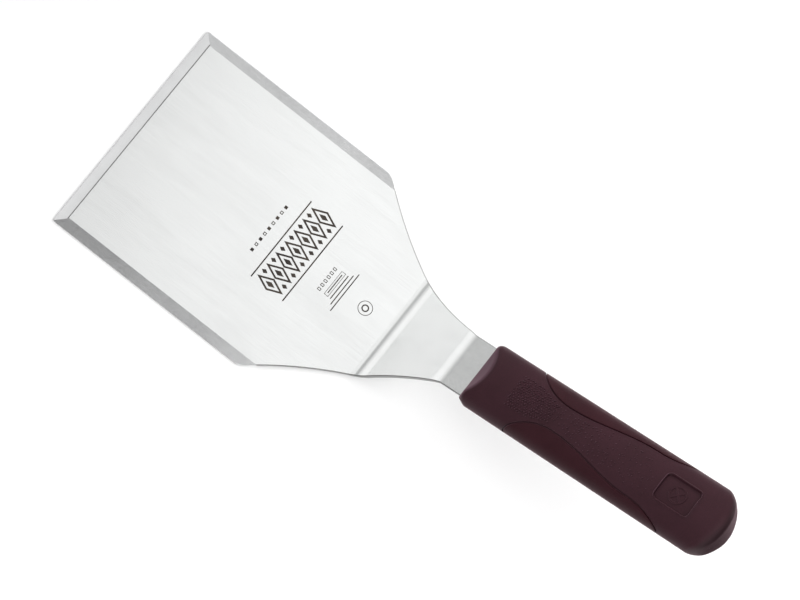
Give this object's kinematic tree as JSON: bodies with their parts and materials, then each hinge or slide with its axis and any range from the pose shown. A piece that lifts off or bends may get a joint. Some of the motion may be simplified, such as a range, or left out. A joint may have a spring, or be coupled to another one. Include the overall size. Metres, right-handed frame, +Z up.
{
  "type": "grill spatula",
  "caption": "Wide bevel-edged grill spatula: flat steel blade on a cranked neck, tang moulded into a ridged handle with side grip panels.",
  "frame": {"origin": "centre of the flat blade's underside, midway between the front edge and the first bend", "axes": "+Y towards the blade's front edge, +X towards the right-hand side edge, +Z up, away from the cooking surface"},
  "size_m": [0.127, 0.3612, 0.0982],
  "materials": {
    "blade_steel": "fine-ground stainless sheet, brighter on the ground bevels",
    "handle_nylon": "dark maroon moulded nylon, fine spark texture",
    "panel_nylon": "dark maroon moulded nylon, fine spark texture"
  },
  "bodies": {
    "root": {"blade": "blade_steel", "handle_core": "handle_nylon", "grip_panel_left": "panel_nylon", "grip_panel_right": "panel_nylon"}
  },
  "joints": []
}
